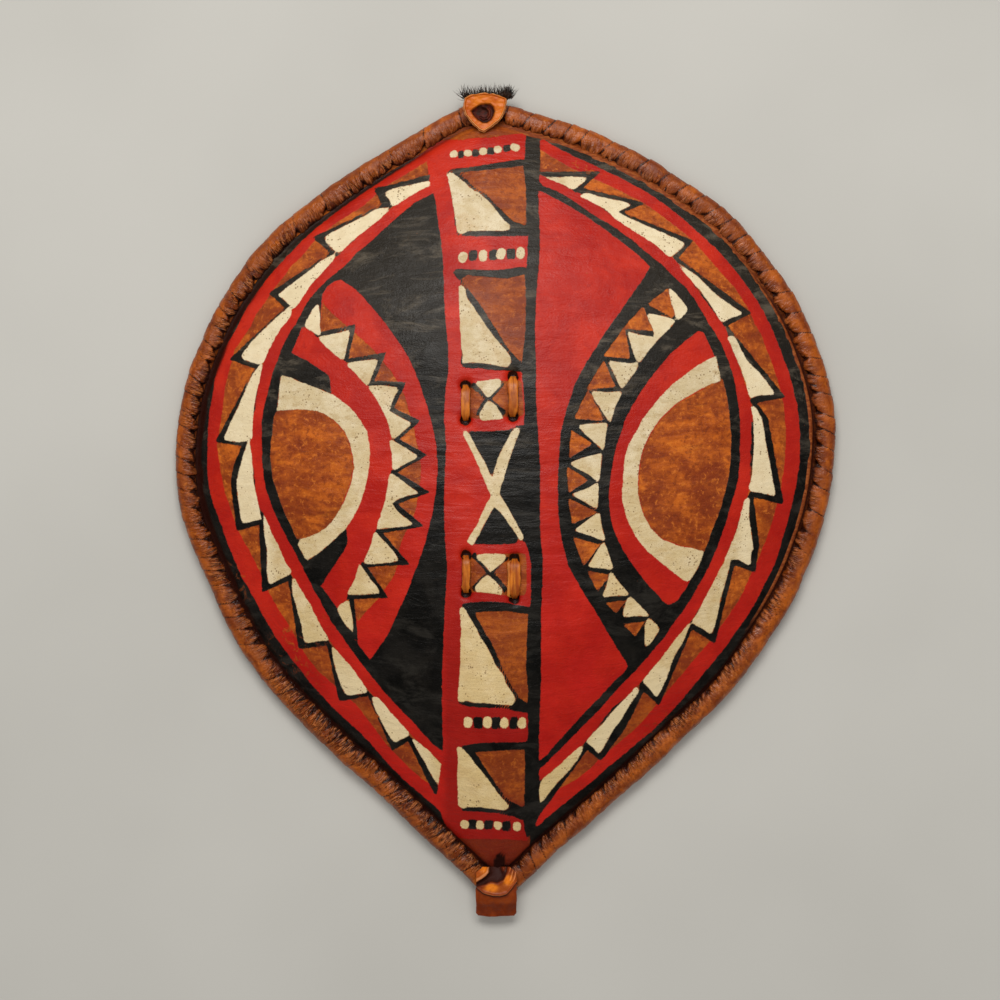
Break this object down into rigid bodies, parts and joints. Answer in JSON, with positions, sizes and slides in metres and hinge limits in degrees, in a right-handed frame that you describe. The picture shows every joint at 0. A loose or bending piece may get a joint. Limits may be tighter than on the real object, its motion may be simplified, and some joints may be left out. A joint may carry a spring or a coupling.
{
  "type": "hide shield",
  "caption": "Painted rawhide shield, domed and leaf-shaped, edged with wound leather, with a wooden stave and hand grip lashed behind it.",
  "frame": {"origin": "on the floor plane under the middle of the shield's overall box", "axes": "+Y to the shield's top tip, +Z out of the painted face, +X to the right seen from the front"},
  "size_m": [0.489, 0.6094, 0.0805],
  "materials": {
    "painted_hide": "rawhide stained orange-brown and hand painted in red, black and cream, semi-gloss",
    "rim_leather": "wound brown leather strip, waxed, creased",
    "stave_wood": "hand-carved stick, oiled",
    "thong_leather": "amber rawhide thong, glossy",
    "tab_leather": "orange rawhide patch, hair left on its underside"
  },
  "bodies": {
    "root": {"hide_panel": "painted_hide", "rim_binding": "rim_leather", "stave": "stave_wood", "upper_lashing": "thong_leather", "lower_lashing": "thong_leather", "top_tab": "tab_leather", "bottom_tab": "rim_leather"}
  },
  "joints": []
}
